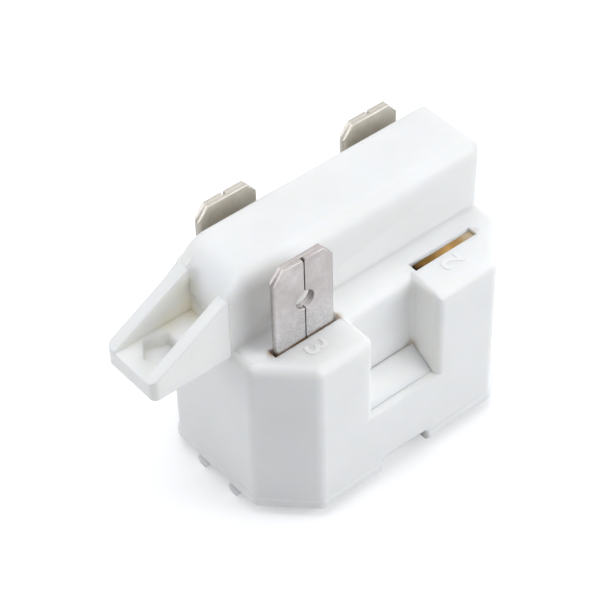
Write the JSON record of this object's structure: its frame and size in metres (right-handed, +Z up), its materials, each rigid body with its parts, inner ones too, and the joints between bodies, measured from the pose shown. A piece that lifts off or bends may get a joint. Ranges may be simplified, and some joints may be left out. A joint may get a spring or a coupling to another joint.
{
  "type": "compressor start relay",
  "caption": "Plug-on start relay for a small hermetic compressor: chamfered white housing with a ridge, mounting ear, blade terminals and pin sockets underneath.",
  "frame": {"origin": "under the middle of the whole outline, at the tips of the base's feet", "axes": "+X along the ridge away from the mounting ear, +Y from the notched front with the single blade to the rear, +Z up"},
  "size_m": [0.0366, 0.0198, 0.0272],
  "materials": {
    "white_moulding": "satin moulded",
    "base_moulding": "satin moulded",
    "plated_brass": "tin plated, slightly tarnished",
    "bare_brass": "rolled sheet",
    "spring_steel": "rolled sheet",
    "dark_ceramic": "matt"
  },
  "bodies": {
    "root": {"housing": "white_moulding", "base_cover": "base_moulding", "front_left_tab": "plated_brass", "rear_left_tab": "plated_brass", "rear_right_tab": "plated_brass", "slot_contact": "bare_brass", "ptc_disc": "dark_ceramic", "run_contact_spring": "spring_steel", "start_contact_spring": "spring_steel", "run_strip": "bare_brass", "start_strip": "bare_brass", "run_pin_socket": "bare_brass", "start_pin_socket": "bare_brass", "run_socket_clip": "spring_steel", "start_socket_clip": "spring_steel", "front_tab_rivet": "bare_brass", "slot_contact_rivet": "bare_brass", "run_socket_rivet": "bare_brass", "rear_left_tab_rivet": "bare_brass", "rear_right_tab_rivet": "bare_brass", "start_socket_rivet": "bare_brass"}
  },
  "joints": []
}
